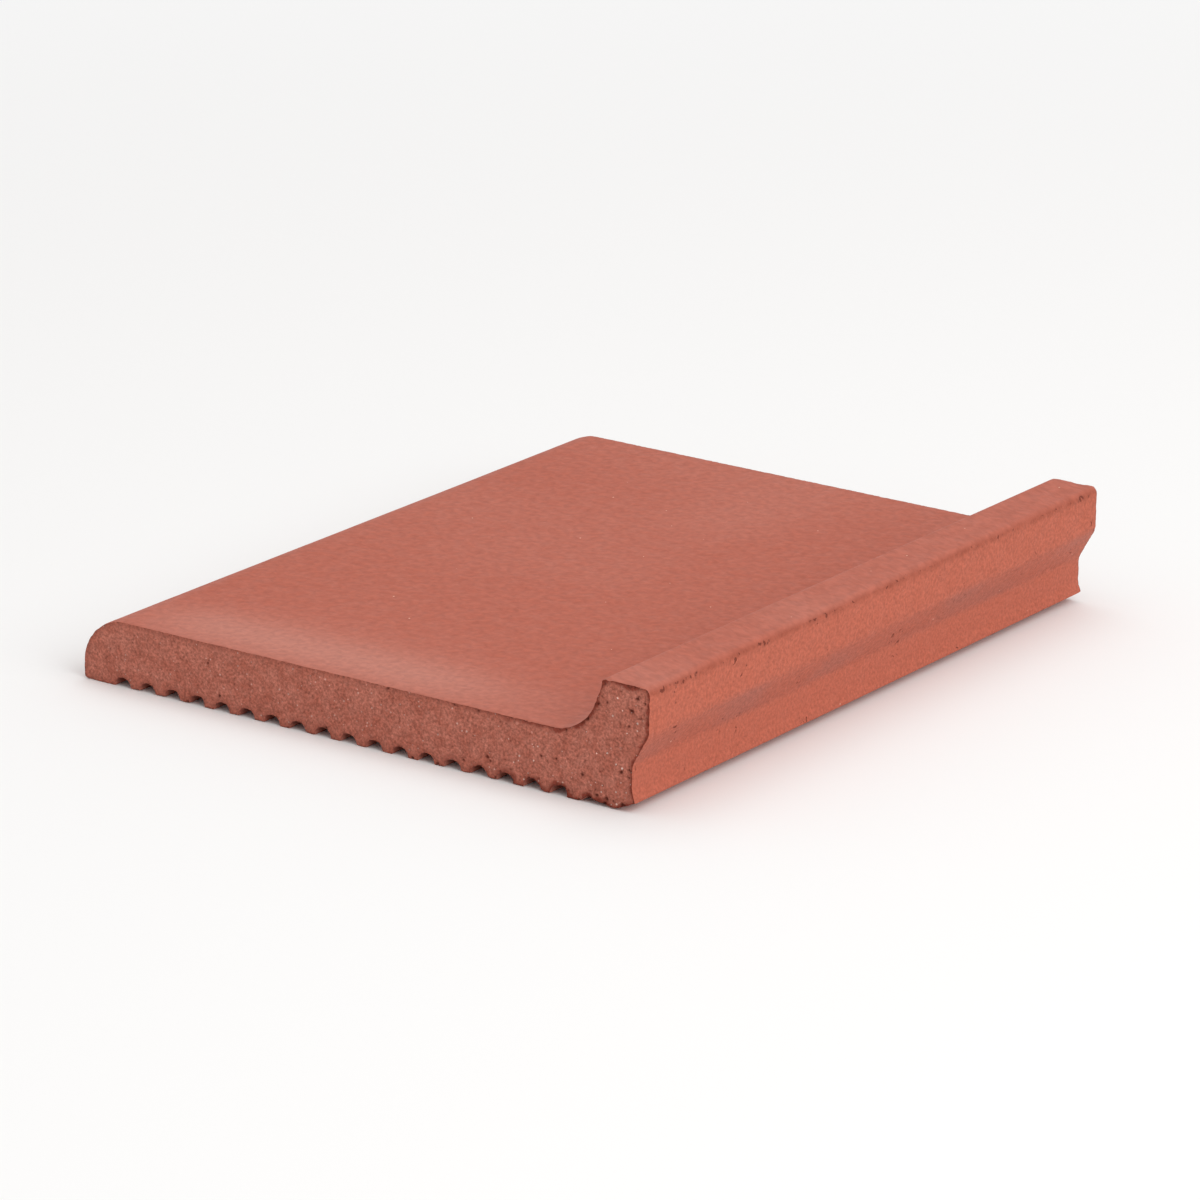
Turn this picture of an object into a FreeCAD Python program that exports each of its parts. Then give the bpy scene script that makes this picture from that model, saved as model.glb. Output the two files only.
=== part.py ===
"""Quarry cove base tile: one extruded and fired clay piece, lying on its back.

Millimetres. The tile is one profile carried along Y. X runs from the rounded nose
(the top edge once it is on a wall) to the foot, and Z is up, so the smooth face looks
up and the toe stands up at the foot. The origin is at the centre of the bounding
box's bottom: Z = 0 is the plane of the lands between the back grooves.
"""
import FreeCAD
import Part
import math
import os

from FreeCAD import Vector
import Sketcher

NODE = "cove_base_tile"

# Driving dimensions: alias, millimetres or degrees, what it is.
DIMENSIONS = [
    ("tile_length", 152.4, "cut end to cut end, along the wall"),
    ("tile_width", 127.0, "rounded nose to the foot's outer face"),
    ("slab_thickness", 12.7, "back lands to the smooth face"),
    ("toe_rise", 11.1, "smooth face to the toe's tip"),
    ("toe_tip_width", 10.4, "across the toe at its tip"),
    ("toe_draft", 15.0, "degrees that the toe's inner side leans from upright"),
    ("nose_radius", 9.5, "bullnose, on the face side only"),
    ("cove_radius", 9.5, "hollow between face and toe"),
    ("tip_rounding", 1.3, "both long edges of the toe's tip"),
    ("back_rounding", 0.8, "eased edge where nose meets back"),
    ("foot_band", 8.7, "upper flat band of the foot's outer face, down from the tip"),
    ("slant_height", 6.2, "height of the slanted band under it"),
    ("foot_setback", 3.45, "how far the slant carries the lower band inwards"),
    ("knee_rounding", 3.0, "turns above and below the slanted band"),
    ("lip_height", 2.3, "flared part at the bottom of the lower band"),
    ("lip_flare", 0.7, "how far that part flares out"),
    ("heel_rise", 1.9, "heel corner above the plane of the lands"),
    ("heel_run", 4.4, "heel corner in to the line that the tile rests on"),
    ("heel_rounding", 2.0, "along that resting line"),
    ("relief_width", 7.3, "shallow hollow between heel and first land"),
    ("relief_depth", 1.0, "its depth, at its inner side"),
    ("relief_wall", 1.3, "width of its inner, steeper side"),
    ("groove_width", 3.4, "round-bottomed back grooves"),
    ("groove_depth", 1.7, "their depth"),
    ("groove_pitch", 5.8, "centre to centre"),
    ("first_land", 3.1, "land between the relief and the first groove's edge"),
    ("last_land", 6.5, "least land between the last groove's edge and the nose"),
]

HORIZONTAL_AXIS = -1
ORIGIN_POINT = (-1, 1)
SAME_PLACE = 1e-4  # two places nearer than this are one
CUT_CLEARANCE = 2.0  # how far the groove's cutter stands out of the clay, below and at both ends

# The first groove's centre, counted in from the foot's outer face.
FIRST_GROOVE = (
    "dimensions.tile_width / 2 - dimensions.foot_setback + dimensions.lip_flare"
    " - dimensions.heel_run - dimensions.relief_width - dimensions.first_land"
    " - dimensions.groove_width / 2"
)
# As many grooves as fit between there and the last land.
GROOVE_COUNT = (
    f"floor(({FIRST_GROOVE} + dimensions.tile_width / 2 - dimensions.last_land"
    " - dimensions.groove_width / 2) / dimensions.groove_pitch) + 1"
)


def make_sheet(doc):
    """The spreadsheet of driving dimensions, one row each: value, then what it is."""
    sheet = doc.addObject("Spreadsheet::Sheet", "dimensions")
    for row, (alias, value, meaning) in enumerate(DIMENSIONS, start=1):
        sheet.set(f"A{row}", str(value))
        sheet.setAlias(f"A{row}", alias)
        sheet.set(f"B{row}", meaning)
    doc.recompute()
    return sheet


def origin_plane(body, role):
    """One of the body's own three origin planes."""
    return next(plane for plane in body.Origin.OriginFeatures if plane.Role == role)


def new_sketch(body, name):
    """A sketch on the body's XZ plane: sketch x is X and sketch y is Z."""
    sketch = body.newObject("Sketcher::SketchObject", name)
    sketch.AttachmentSupport = [(origin_plane(body, "XZ_Plane"), "")]
    sketch.MapMode = "FlatFace"
    return sketch


def draw_loop(sketch, points):
    """A closed loop of straight lines, joined end to end. Line i starts at point i."""
    ends = points[1:] + points[:1]
    for start, end in zip(points, ends):
        sketch.addGeometry(Part.LineSegment(Vector(*start, 0), Vector(*end, 0)), False)
    for line in range(len(points)):
        following = (line + 1) % len(points)
        sketch.addConstraint(Sketcher.Constraint("Coincident", line, 2, following, 1))


def bind(sketch, kind, references, value, name, formula):
    """One driving dimension of a sketch, named and tied to a formula on the sheet."""
    index = sketch.addConstraint(Sketcher.Constraint(kind, *references, value))
    sketch.renameConstraint(index, name)
    sketch.setExpression(f"Constraints.{name}", formula)


def outline_points(size):
    """The profile's sharp corners, from the nose's back corner round over the face."""
    foot = size["tile_width"] / 2
    face = size["slab_thickness"]
    tip = face + size["toe_rise"]
    lean = size["toe_rise"] * math.tan(math.radians(size["toe_draft"]))
    tip_inner = foot - size["toe_tip_width"]
    knee = tip - size["foot_band"]
    lower_band = foot - size["foot_setback"]
    lip = lower_band + size["lip_flare"]
    rest_line = lip - size["heel_run"]
    land_edge = rest_line - size["relief_width"]
    return {
        "nose_back": (-foot, 0),
        "nose_face": (-foot, face),
        "cove": (tip_inner - lean, face),
        "tip_inner": (tip_inner, tip),
        "tip_outer": (foot, tip),
        "upper_knee": (foot, knee),
        "lower_knee": (lower_band, knee - size["slant_height"]),
        "lip_top": (lower_band, size["heel_rise"] + size["lip_height"]),
        "heel_corner": (lip, size["heel_rise"]),
        "rest_line": (rest_line, 0),
        "relief_top": (land_edge + size["relief_wall"], size["relief_depth"]),
        "land_edge": (land_edge, 0),
    }


def draw_profile(sketch, corners):
    """The profile with sharp corners, each size bound to the sheet."""
    draw_loop(sketch, list(corners.values()))
    line = {name: index for index, name in enumerate(corners)}
    back = line["land_edge"]
    for upright in ("nose_back", "tip_outer", "lower_knee"):
        sketch.addConstraint(Sketcher.Constraint("Vertical", line[upright]))
    for level in ("nose_face", "tip_inner"):
        sketch.addConstraint(Sketcher.Constraint("Horizontal", line[level]))
    sketch.addConstraint(Sketcher.Constraint("PointOnObject", back, 1, HORIZONTAL_AXIS))
    sketch.addConstraint(Sketcher.Constraint("PointOnObject", back, 2, HORIZONTAL_AXIS))
    rest = line["rest_line"]
    sketch.addConstraint(Sketcher.Constraint("PointOnObject", rest, 1, HORIZONTAL_AXIS))

    def across(start, end, name, formula):
        value = corners[end][0] - corners[start][0]
        references = (line[start], 1, line[end], 1)
        bind(sketch, "DistanceX", references, value, name, formula)

    def up(start, end, name, formula):
        value = corners[end][1] - corners[start][1]
        references = (line[start], 1, line[end], 1)
        bind(sketch, "DistanceY", references, value, name, formula)

    half_width = -corners["nose_back"][0]
    bind(sketch, "DistanceX", (line["nose_back"], 1, *ORIGIN_POINT), half_width,
         "half_width", "dimensions.tile_width / 2")
    across("nose_back", "tip_outer", "width", "dimensions.tile_width")
    up("nose_back", "nose_face", "thickness", "dimensions.slab_thickness")
    up("nose_face", "tip_inner", "toe_rise", "dimensions.toe_rise")
    across("tip_inner", "tip_outer", "tip_width", "dimensions.toe_tip_width")
    across("cove", "tip_inner", "lean", "dimensions.toe_rise * tan(dimensions.toe_draft * 1 deg)")
    up("upper_knee", "tip_outer", "band", "dimensions.foot_band")
    up("lower_knee", "upper_knee", "slant", "dimensions.slant_height")
    across("lower_knee", "upper_knee", "setback", "dimensions.foot_setback")
    up("heel_corner", "lip_top", "lip_height", "dimensions.lip_height")
    across("lip_top", "heel_corner", "lip_flare", "dimensions.lip_flare")
    up("rest_line", "heel_corner", "heel_rise", "dimensions.heel_rise")
    across("rest_line", "heel_corner", "heel_run", "dimensions.heel_run")
    across("land_edge", "rest_line", "relief_width", "dimensions.relief_width")
    across("land_edge", "relief_top", "relief_wall", "dimensions.relief_wall")
    up("land_edge", "relief_top", "relief_depth", "dimensions.relief_depth")


def long_edges_at(shape, places):
    """Names of the straight edges along Y that pass through the given X, Z places."""
    names = []
    for number, edge in enumerate(shape.Edges, start=1):
        start, end = edge.Vertexes[0].Point, edge.Vertexes[-1].Point
        along_y = abs(start.y - end.y) > abs(start.x - end.x) + abs(start.z - end.z)
        if along_y and any(math.hypot(start.x - x, start.z - z) < SAME_PLACE for x, z in places):
            names.append(f"Edge{number}")
    return names


def round_edges(doc, body, name, places, alias):
    """Fillet the long edges at these profile corners to the radius in the sheet."""
    base = body.Tip
    edges = long_edges_at(base.Shape, places)
    if len(edges) != len(places):
        raise RuntimeError(f"{name}: found {len(edges)} of {len(places)} edges")
    fillet = body.newObject("PartDesign::Fillet", name)
    fillet.Base = (base, edges)
    fillet.setExpression("Radius", f"dimensions.{alias}")
    doc.recompute()
    return fillet


def add_slab(doc, body, corners):
    """The whole profile padded evenly to both sides of the XZ plane, then rounded."""
    profile = new_sketch(body, "profile")
    draw_profile(profile, corners)
    pad = body.newObject("PartDesign::Pad", "extrusion")
    pad.Profile = profile
    pad.SideType = "Symmetric"
    pad.setExpression("Length", "dimensions.tile_length")
    doc.recompute()
    rounds = [
        ("nose_round", ["nose_face"], "nose_radius"),
        ("cove_hollow", ["cove"], "cove_radius"),
        ("tip_rounds", ["tip_inner", "tip_outer"], "tip_rounding"),
        ("knee_rounds", ["upper_knee", "lower_knee"], "knee_rounding"),
        ("heel_round", ["rest_line"], "heel_rounding"),
        ("back_round", ["nose_back"], "back_rounding"),
    ]
    for name, corner_names, alias in rounds:
        places = [corners[corner] for corner in corner_names]
        round_edges(doc, body, name, places, alias)


def groove_line(start, end):
    """One straight side of the groove section."""
    return Part.LineSegment(Vector(*start, 0), Vector(*end, 0))


def draw_groove(sketch, size, centre):
    """One groove's section: two upright sides under a half-round crown."""
    radius = size["groove_width"] / 2
    spring = size["groove_depth"] - radius
    left, right = centre - radius, centre + radius
    crown = Part.Circle(Vector(centre, spring, 0), Vector(0, 0, 1), radius)
    mouth, right_side, arch, left_side = range(4)
    sketch.addGeometry(groove_line((left, -CUT_CLEARANCE), (right, -CUT_CLEARANCE)), False)
    sketch.addGeometry(groove_line((right, -CUT_CLEARANCE), (right, spring)), False)
    sketch.addGeometry(Part.ArcOfCircle(crown, 0, math.pi), False)
    sketch.addGeometry(groove_line((left, spring), (left, -CUT_CLEARANCE)), False)
    sketch.addConstraint(Sketcher.Constraint("Coincident", mouth, 2, right_side, 1))
    sketch.addConstraint(Sketcher.Constraint("Tangent", right_side, 2, arch, 1))
    sketch.addConstraint(Sketcher.Constraint("Tangent", arch, 2, left_side, 1))
    sketch.addConstraint(Sketcher.Constraint("Coincident", left_side, 2, mouth, 1))
    sketch.addConstraint(Sketcher.Constraint("Horizontal", mouth))
    sketch.addConstraint(Sketcher.Constraint("Vertical", right_side))
    sketch.addConstraint(Sketcher.Constraint("Vertical", left_side))
    bind(sketch, "DistanceX", (mouth, 1, mouth, 2), size["groove_width"],
         "groove_width", "dimensions.groove_width")
    bind(sketch, "DistanceY", (mouth, 1, *ORIGIN_POINT), CUT_CLEARANCE,
         "clearance", f"{CUT_CLEARANCE}")
    bind(sketch, "DistanceY", (mouth, 1, arch, 3), CUT_CLEARANCE + spring,
         "crown_height", f"{CUT_CLEARANCE} + dimensions.groove_depth - dimensions.groove_width / 2")
    bind(sketch, "DistanceX", (*ORIGIN_POINT, arch, 3), centre, "first_centre", FIRST_GROOVE)


def add_grooves(doc, body, size, land_edge):
    """Round-bottomed grooves along Y, from the heel's first land back to the nose."""
    sketch = new_sketch(body, "groove_section")
    draw_groove(sketch, size, land_edge - size["first_land"] - size["groove_width"] / 2)
    slab_volume = body.Shape.Volume
    groove = body.newObject("PartDesign::Pocket", "back_groove")
    groove.Profile = sketch
    groove.SideType = "Symmetric"
    groove.Type = "Length"
    groove.setExpression("Length", f"dimensions.tile_length + {CUT_CLEARANCE}")
    doc.recompute()
    row = body.newObject("PartDesign::LinearPattern", "back_grooves")
    row.Originals = [groove]
    row.Direction = (sketch, ["H_Axis"])
    row.Reversed = True
    row.Mode = "Spacing"
    row.setExpression("Offset", "dimensions.groove_pitch")
    row.setExpression("Occurrences", GROOVE_COUNT)
    body.Tip = row
    doc.recompute()
    radius = size["groove_width"] / 2
    straight = size["groove_depth"] - radius
    section = math.pi * radius ** 2 / 2 + straight * size["groove_width"]
    expected = row.Occurrences * section * size["tile_length"]
    removed = slab_volume - body.Shape.Volume
    if abs(removed - expected) > expected * 1e-3:
        raise RuntimeError(f"grooves removed {removed:.1f} of {expected:.1f} cubic mm")


def build_tile(doc, size):
    """The whole tile as one body."""
    body = doc.addObject("PartDesign::Body", NODE)
    body.Label = NODE
    corners = outline_points(size)
    add_slab(doc, body, corners)
    add_grooves(doc, body, size, corners["land_edge"][0])
    return body


def check_document(doc, body):
    """Stop if any object failed, or the body isn't one whole valid solid."""
    for item in doc.Objects:
        if "Invalid" in item.State or "Error" in item.State:
            raise RuntimeError(f"{item.Name} failed: {item.State}")
    shape = body.Shape
    if shape.isNull() or not shape.isValid() or len(shape.Solids) != 1:
        raise RuntimeError(f"{body.Label} is not one valid solid")


def main():
    doc = FreeCAD.newDocument("quarry_cove_base_tile")
    make_sheet(doc)
    size = {alias: value for alias, value, _ in DIMENSIONS}
    body = build_tile(doc, size)
    check_document(doc, body)
    os.makedirs("parts", exist_ok=True)
    body.Shape.exportStep(f"parts/{body.Label}.step")
    box = body.Shape.BoundBox
    print(f"{body.Label}: {box.XLength:.2f} x {box.YLength:.2f} x {box.ZLength:.2f} mm, "
          f"{body.Shape.Volume / 1000:.1f} cubic cm")


main()
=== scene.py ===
"""Looks of a quarry cove base tile: extruded red clay, wire-cut to length and fired unglazed.

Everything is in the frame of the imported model, in metres. Sizes that are written here are
in millimetres and are turned to metres only where a mesh or a material is made.
"""
import logging
import math
from collections.abc import Callable
from dataclasses import dataclass, field
from enum import Enum
from functools import partial

import bpy
import numpy as np
from mathutils import Matrix, Vector
from mathutils.geometry import delaunay_2d_cdt


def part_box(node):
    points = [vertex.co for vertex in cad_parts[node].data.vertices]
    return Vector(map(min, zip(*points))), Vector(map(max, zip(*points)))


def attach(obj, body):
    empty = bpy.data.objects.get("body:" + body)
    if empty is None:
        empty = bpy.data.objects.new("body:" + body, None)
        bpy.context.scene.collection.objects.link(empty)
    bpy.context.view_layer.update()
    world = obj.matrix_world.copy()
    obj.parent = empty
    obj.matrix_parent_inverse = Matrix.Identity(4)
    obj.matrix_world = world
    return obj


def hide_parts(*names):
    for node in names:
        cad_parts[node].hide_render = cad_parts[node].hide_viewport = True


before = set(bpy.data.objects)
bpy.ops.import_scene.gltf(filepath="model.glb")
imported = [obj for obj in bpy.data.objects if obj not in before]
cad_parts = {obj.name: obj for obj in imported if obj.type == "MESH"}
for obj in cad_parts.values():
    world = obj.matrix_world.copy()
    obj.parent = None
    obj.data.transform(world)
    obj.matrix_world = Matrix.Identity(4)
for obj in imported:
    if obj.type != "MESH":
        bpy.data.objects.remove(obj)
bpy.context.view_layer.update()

MM = 0.001
NODE = "cove_base_tile"
# The CAD box is centred on X and Y and stands on Z = 0. Its far corner, in millimetres:
HALF_WIDTH, HALF_LENGTH, HEIGHT = (float(reach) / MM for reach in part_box(NODE)[1])
# What lies lower than this, in millimetres, belongs to the grooved back.
BACK_LEVEL = 2.0
WHITE = (1.0, 1.0, 1.0, 1.0)
Span = tuple[float, float]
Adder = Callable[..., bpy.types.Node]
Feed = bpy.types.Node | bpy.types.NodeSocket
log = logging.getLogger("tile")


# ---- small helpers

def hex_linear(text: str) -> tuple[float, float, float, float]:
    """Turn an sRGB hex colour into linear light.

    Each channel is divided by 12.92 below the sRGB knee, and raised to 2.4 above it.

    Args:
        text: the colour as six hex digits, with or without a leading #.

    Returns:
        Linear red, green, blue, and an alpha of 1.
    """
    digits = text.lstrip("#")
    srgb = np.array([int(digits[i:i + 2], 16) for i in (0, 2, 4)]) / 255.0
    linear = np.where(srgb <= 0.04045, srgb / 12.92, ((srgb + 0.055) / 1.055) ** 2.4)
    return (*(float(c) for c in linear), 1.0)


def ramp(value: np.ndarray, start: float, end: float) -> np.ndarray:
    """Smooth step from 0 at start to 1 at end: 3t^2 - 2t^3 of the clipped share of the way."""
    share = np.clip((value - start) / (end - start), 0.0, 1.0)
    return share * share * (3.0 - 2.0 * share)


def bell(distance: np.ndarray, reach: float) -> np.ndarray:
    """Soft bump: exp(-(distance / reach)^2)."""
    return np.exp(-(distance / reach) ** 2)


@dataclass(frozen=True)
class ClayNoise:
    """Smooth random values in space, the same on every run.

    Attributes:
        grain: spacing of the random lattice, in millimetres.
        seed: picks the lattice's random values.
        cells: lattice points each way before the pattern repeats.
    """

    grain: float
    seed: int
    cells: int = 48

    def at(self, points: np.ndarray) -> np.ndarray:
        """Value noise: the eight lattice values round each point, blended by smooth steps.

        Args:
            points: places in millimetres, one row each.

        Returns:
            One value per place, from -1 to 1.
        """
        lattice = np.random.default_rng(self.seed).uniform(-1.0, 1.0, (self.cells,) * 3)
        scaled = points / self.grain
        cell = np.floor(scaled).astype(int)
        part = scaled - cell
        weight = part * part * (3.0 - 2.0 * part)
        total = np.zeros(len(points))
        for corner in np.ndindex(2, 2, 2):
            index = (cell + corner) % self.cells
            share = np.where(np.array(corner) == 1, weight, 1.0 - weight).prod(axis=1)
            total += share * lattice[index[:, 0], index[:, 1], index[:, 2]]
        return total


DRYING_WAVES = ClayNoise(34.0, seed=3)
RIPPLES = ClayNoise(6.0, seed=4)
LUMPS = ClayNoise(2.6, seed=5)
FRAY = ClayNoise(0.8, seed=6)
BITES = ClayNoise(1.5, seed=7)
CHIP_FLOORS = ClayNoise(0.9, seed=8)
CUT_GRAIN = ClayNoise(0.75, seed=9)
CUT_WAVES = ClayNoise(9.0, seed=10)
BLOOM_CLOUDS = ClayNoise(24.0, seed=12)
ASH_PATCHES = ClayNoise(6.5, seed=13)


# ---- the tile's section

@dataclass(frozen=True)
class Corner:
    """A corner of the section before it is rounded: where it is and its radius, in mm."""

    x: float
    z: float
    radius: float


@dataclass(frozen=True)
class Section:
    """Sizes of the extruded profile, in millimetres, X from nose to foot and Z up."""

    slab_thickness: float = 12.7
    toe_tip_width: float = 10.4
    toe_draft: float = 15.0
    nose_radius: float = 9.5
    cove_radius: float = 9.5
    tip_rounding: float = 1.3
    back_rounding: float = 0.8
    foot_band: float = 8.7
    slant_height: float = 6.2
    foot_setback: float = 3.45
    knee_rounding: float = 3.0
    lip_height: float = 2.3
    lip_flare: float = 0.7
    heel_rise: float = 1.9
    heel_run: float = 4.4
    heel_rounding: float = 2.0
    relief_width: float = 7.3
    relief_depth: float = 1.0
    relief_wall: float = 1.3
    groove_width: float = 3.4
    groove_depth: float = 1.7
    groove_pitch: float = 5.8
    first_land: float = 3.1
    last_land: float = 6.5
    clay_arris: float = 0.28

    def corners(self) -> list[Corner]:
        """The corners from the nose's back corner on, counter-clockwise.

        Returns:
            Corners along the back, up the foot, over the toe and back over the face.
        """
        arris = self.clay_arris
        lower_band = HALF_WIDTH - self.foot_setback
        lip = lower_band + self.lip_flare
        rest_line = lip - self.heel_run
        land_edge = rest_line - self.relief_width
        knee = HEIGHT - self.foot_band
        lean = (HEIGHT - self.slab_thickness) * math.tan(math.radians(self.toe_draft))
        tip_inner = HALF_WIDTH - self.toe_tip_width
        back = [Corner(-HALF_WIDTH, 0.0, self.back_rounding)]
        for centre in self.groove_centres(land_edge):
            left, right = centre - self.groove_width / 2, centre + self.groove_width / 2
            crown = self.groove_width / 2 - arris
            back += [
                Corner(left, 0.0, arris), Corner(left, self.groove_depth, crown),
                Corner(right, self.groove_depth, crown), Corner(right, 0.0, arris),
            ]
        heel = [
            Corner(land_edge, 0.0, arris),
            Corner(land_edge + self.relief_wall, self.relief_depth, arris),
            Corner(rest_line, 0.0, self.heel_rounding),
            Corner(lip, self.heel_rise, arris),
        ]
        foot = [
            Corner(lower_band, self.heel_rise + self.lip_height, self.knee_rounding),
            Corner(lower_band, knee - self.slant_height, self.knee_rounding),
            Corner(HALF_WIDTH, knee, self.knee_rounding),
        ]
        top = [
            Corner(HALF_WIDTH, HEIGHT, self.tip_rounding),
            Corner(tip_inner, HEIGHT, self.tip_rounding),
            Corner(tip_inner - lean, self.slab_thickness, self.cove_radius),
            Corner(-HALF_WIDTH, self.slab_thickness, self.nose_radius),
        ]
        return back + heel + foot + top

    def groove_centres(self, land_edge: float) -> np.ndarray:
        """X of each groove, from the nose's side, an even pitch counted from the heel."""
        last = land_edge - self.first_land - self.groove_width / 2
        room = last + HALF_WIDTH - self.last_land - self.groove_width / 2
        count = math.floor(room / self.groove_pitch) + 1
        return last - self.groove_pitch * np.arange(count)[::-1]


@dataclass(frozen=True)
class Outline:
    """The rounded section as a closed loop of points.

    Attributes:
        places: X and Z of each point, in millimetres.
        normals: the outward direction at each point.
    """

    places: np.ndarray
    normals: np.ndarray

    @classmethod
    def rounded(
        cls, corners: list[Corner], step: float, back_step: float, arc_pieces: int = 3,
        shortest: float = 1e-4,
    ) -> "Outline":
        """Round each corner with an arc that touches both its sides, and divide what is left.

        An arc of radius r at a turn of angle a starts r tan(a / 2) before the corner and
        turns evenly. Straights and arcs are cut into steps no longer than the given one.

        Args:
            corners: the section's corners, counter-clockwise.
            step: longest step on the faces that show, in millimetres.
            back_step: longest step on the grooved back.
            arc_pieces: the fewest steps in an arc.
            shortest: a shorter side than this is a doubled point, which is dropped.

        Returns:
            The loop, with normals from each arc's own centre.
        """
        spot = np.array([[c.x, c.z] for c in corners])
        way = np.roll(spot, -1, axis=0) - spot
        way /= np.linalg.norm(way, axis=1)[:, None]
        ends = []
        for i, corner in enumerate(corners):
            before, after = way[i - 1], way[i]
            turn = math.atan2(before[0] * after[1] - before[1] * after[0], float(before @ after))
            reach = corner.radius * math.tan(abs(turn) / 2)
            side = math.copysign(1.0, turn)
            inwards = side * corner.radius * np.array([-before[1], before[0]])
            centre = spot[i] - before * reach + inwards
            longest = back_step if corner.z < BACK_LEVEL else step
            pieces = max(arc_pieces, math.ceil(abs(turn) * corner.radius / longest))
            angle = math.atan2(before[1], before[0]) + np.linspace(0.0, turn, pieces + 1)
            outward = np.stack([np.sin(angle), -np.cos(angle)], axis=1)
            ends.append((centre + side * corner.radius * outward, outward, longest))
        places, normals = [], []
        for (arc, outward, longest), (following, _, next_longest) in zip(ends, ends[1:] + ends[:1]):
            gap = following[0] - arc[-1]
            longest = min(longest, next_longest) if arc[-1][1] > BACK_LEVEL else back_step
            pieces = max(1, math.ceil(float(np.hypot(*gap)) / longest))
            share = (np.arange(1, pieces) / pieces)[:, None]
            places += [arc, arc[-1] + share * gap]
            normals += [outward, np.repeat(outward[-1:], pieces - 1, axis=0)]
        loop = np.concatenate(places)
        keep = np.hypot(*(np.roll(loop, -1, axis=0) - loop).T) > shortest
        return cls(loop[keep], np.concatenate(normals)[keep])


# ---- the tile's mesh

class Slot(Enum):
    """Material slots of the tile's mesh, in order."""

    DIE_SKIN = 0
    WIRE_CUT = 1
    GROOVED_BACK = 2


@dataclass(frozen=True)
class Chip:
    """A small break: where it is, how far it reaches and how deep it goes, in mm."""

    place: tuple[float, float, float]
    reach: float
    depth: float


@dataclass(frozen=True)
class Borders:
    """Soft borders on the tile: the X or Z, in millimetres, where each starts and ends.

    Those near the toe's tip, the foot and the nose are counted from the CAD box's sides.
    """

    foot_side: Span = (HALF_WIDTH - 4.5, HALF_WIDTH - 3.3)
    foot_sole: Span = (0.5, 1.5)
    foot_top: Span = (HEIGHT - 1.1, HEIGHT - 0.3)
    crown: Span = (HEIGHT - 1.0, HEIGHT - 0.3)
    # Where the band of painted sheen beside the near cut runs across the section.
    sheen_strip_nose: Span = (1.5 - HALF_WIDTH, 25.5 - HALF_WIDTH)
    sheen_strip_toe: Span = (5.0, 42.0)
    slant_low: Span = (HEIGHT - 15.8, HEIGHT - 13.6)
    slant_high: Span = (HEIGHT - 10.0, HEIGHT - 7.6)
    rough_side: Span = (HALF_WIDTH - 2.5, HALF_WIDTH - 1.1)
    rough_low: Span = (HEIGHT - 10.6, HEIGHT - 8.2)
    rough_high: Span = (HEIGHT - 0.9, HEIGHT - 0.3)
    crease_side: Span = (HALF_WIDTH - 3.5, HALF_WIDTH - 1.5)
    crease_low: Span = (HEIGHT - 10.3, HEIGHT - 8.8)
    thick_end: Span = (12.0, 50.0)
    back: Span = (0.7 - HALF_WIDTH, HALF_WIDTH - 7.5)


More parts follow.
